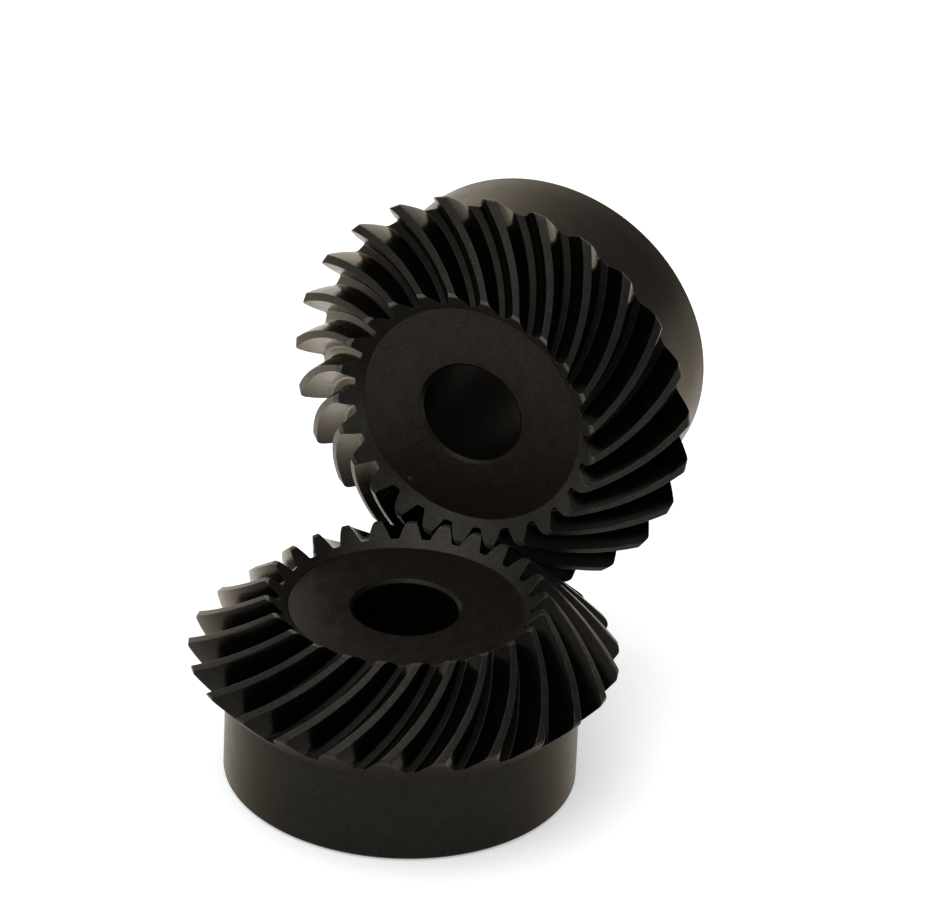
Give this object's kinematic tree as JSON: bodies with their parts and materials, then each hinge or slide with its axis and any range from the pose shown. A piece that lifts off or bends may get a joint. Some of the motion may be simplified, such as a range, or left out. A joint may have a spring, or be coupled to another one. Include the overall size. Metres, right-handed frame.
{
  "type": "spiral bevel gear pair",
  "caption": "Pair of equal spiral bevel gears in mesh, turning a shaft drive through a right angle at equal speed.",
  "frame": {"origin": "centre of the lower gear's bore at the back face of its hub, the face that the pair stands on", "axes": "+Z along the lower gear's axis towards the common apex, +X along the upper gear's axis from the apex towards its hub"},
  "size_m": [0.0989, 0.0778, 0.0989],
  "materials": {
    "black_oxide_steel": "black oxide, satin",
    "datum_steel": "plain"
  },
  "bodies": {
    "housing_datum": {"apex_datum": "datum_steel"},
    "lower_gear": {"lower_gear": "black_oxide_steel"},
    "upper_gear": {"upper_gear": "black_oxide_steel"}
  },
  "joints": [
    {"name": "lower_spin", "type": "hinge", "parent": "housing_datum", "child": "lower_gear", "pos_m": [0, 0, 0], "axis": [0, 0, 1], "continuous": true},
    {"name": "upper_spin", "type": "hinge", "parent": "housing_datum", "child": "upper_gear", "pos_m": [0, 0, 0.06], "axis": [1, 0, 0], "continuous": true}
  ],
  "couplings": [
    {"joint": "upper_spin", "follows": "lower_spin", "ratio": 1}
  ]
}
